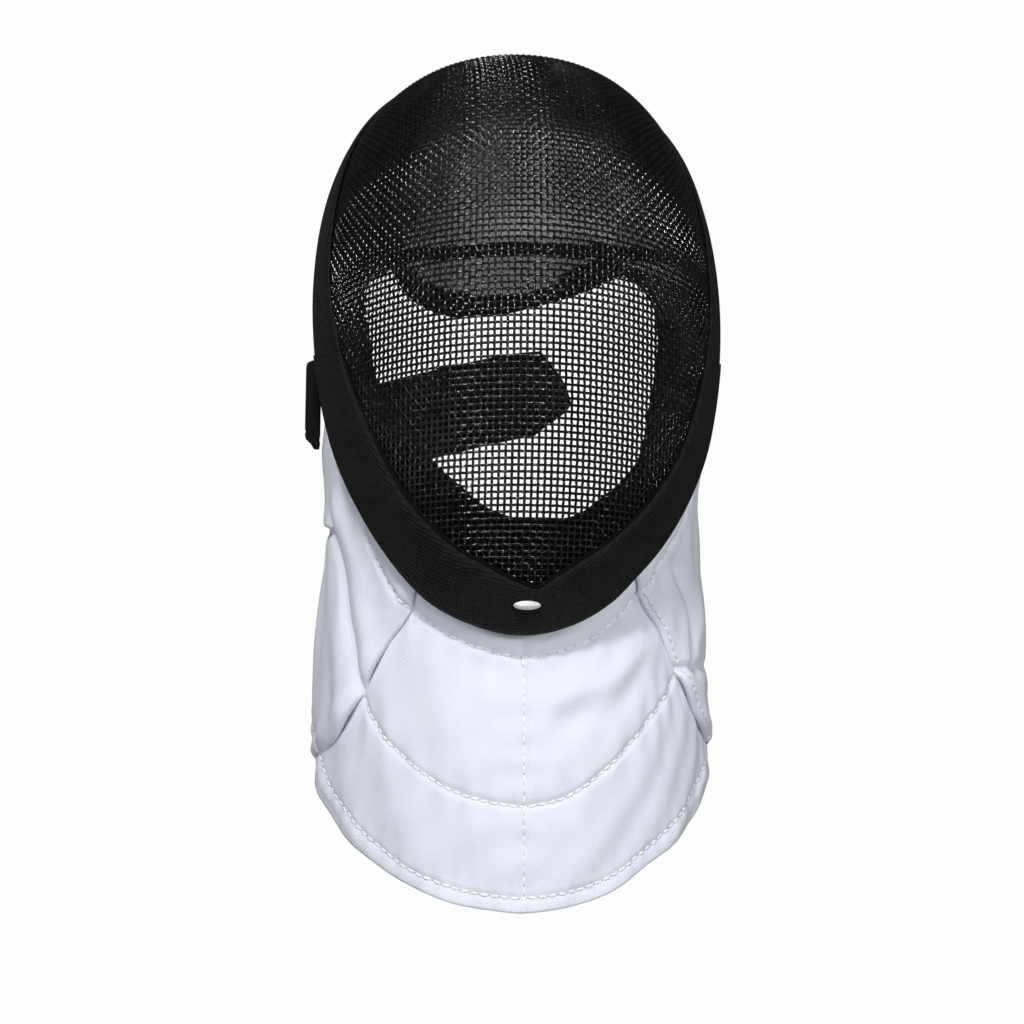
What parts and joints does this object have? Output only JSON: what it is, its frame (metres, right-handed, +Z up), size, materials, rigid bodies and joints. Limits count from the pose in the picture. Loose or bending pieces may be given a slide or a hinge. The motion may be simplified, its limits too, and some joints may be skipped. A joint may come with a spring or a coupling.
{
  "type": "fencing mask",
  "caption": "Fencing mask: black woven wire dome with black trim, a silver chin stud, a white quilted bib, inner padding, a rear spring tongue and an elastic strap.",
  "frame": {"origin": "head seat: the underside of the crown pad, where the mask rests on top of the head", "axes": "+Z up through the crown, -Y out of the face, +X towards the wearer's left"},
  "size_m": [0.2081, 0.2093, 0.4152],
  "materials": {
    "mesh": "satin black enamel on woven steel wire",
    "trim": "matt black fine grained",
    "stud": "polished",
    "bib": "white fine twill, quilted",
    "padding": "dark brushed cloth over foam",
    "crown_cloth": "grey brushed cloth, black round its edges",
    "tongue": "mid grey brushed cloth over a steel spring",
    "webbing": "black ribbed elastic webbing"
  },
  "bodies": {
    "root": {"mesh_bowl": "mesh", "rim_binding": "trim", "jaw_trim": "trim", "chin_stud": "stud", "bib_front": "bib", "bib_wing_left": "bib", "bib_wing_right": "bib", "pad_crown": "crown_cloth", "pad_side_left": "padding", "pad_side_right": "padding", "pad_chin": "padding", "brow_band": "webbing", "spring_tongue": "tongue", "back_strap": "webbing", "strap_loop": "webbing"}
  },
  "joints": []
}
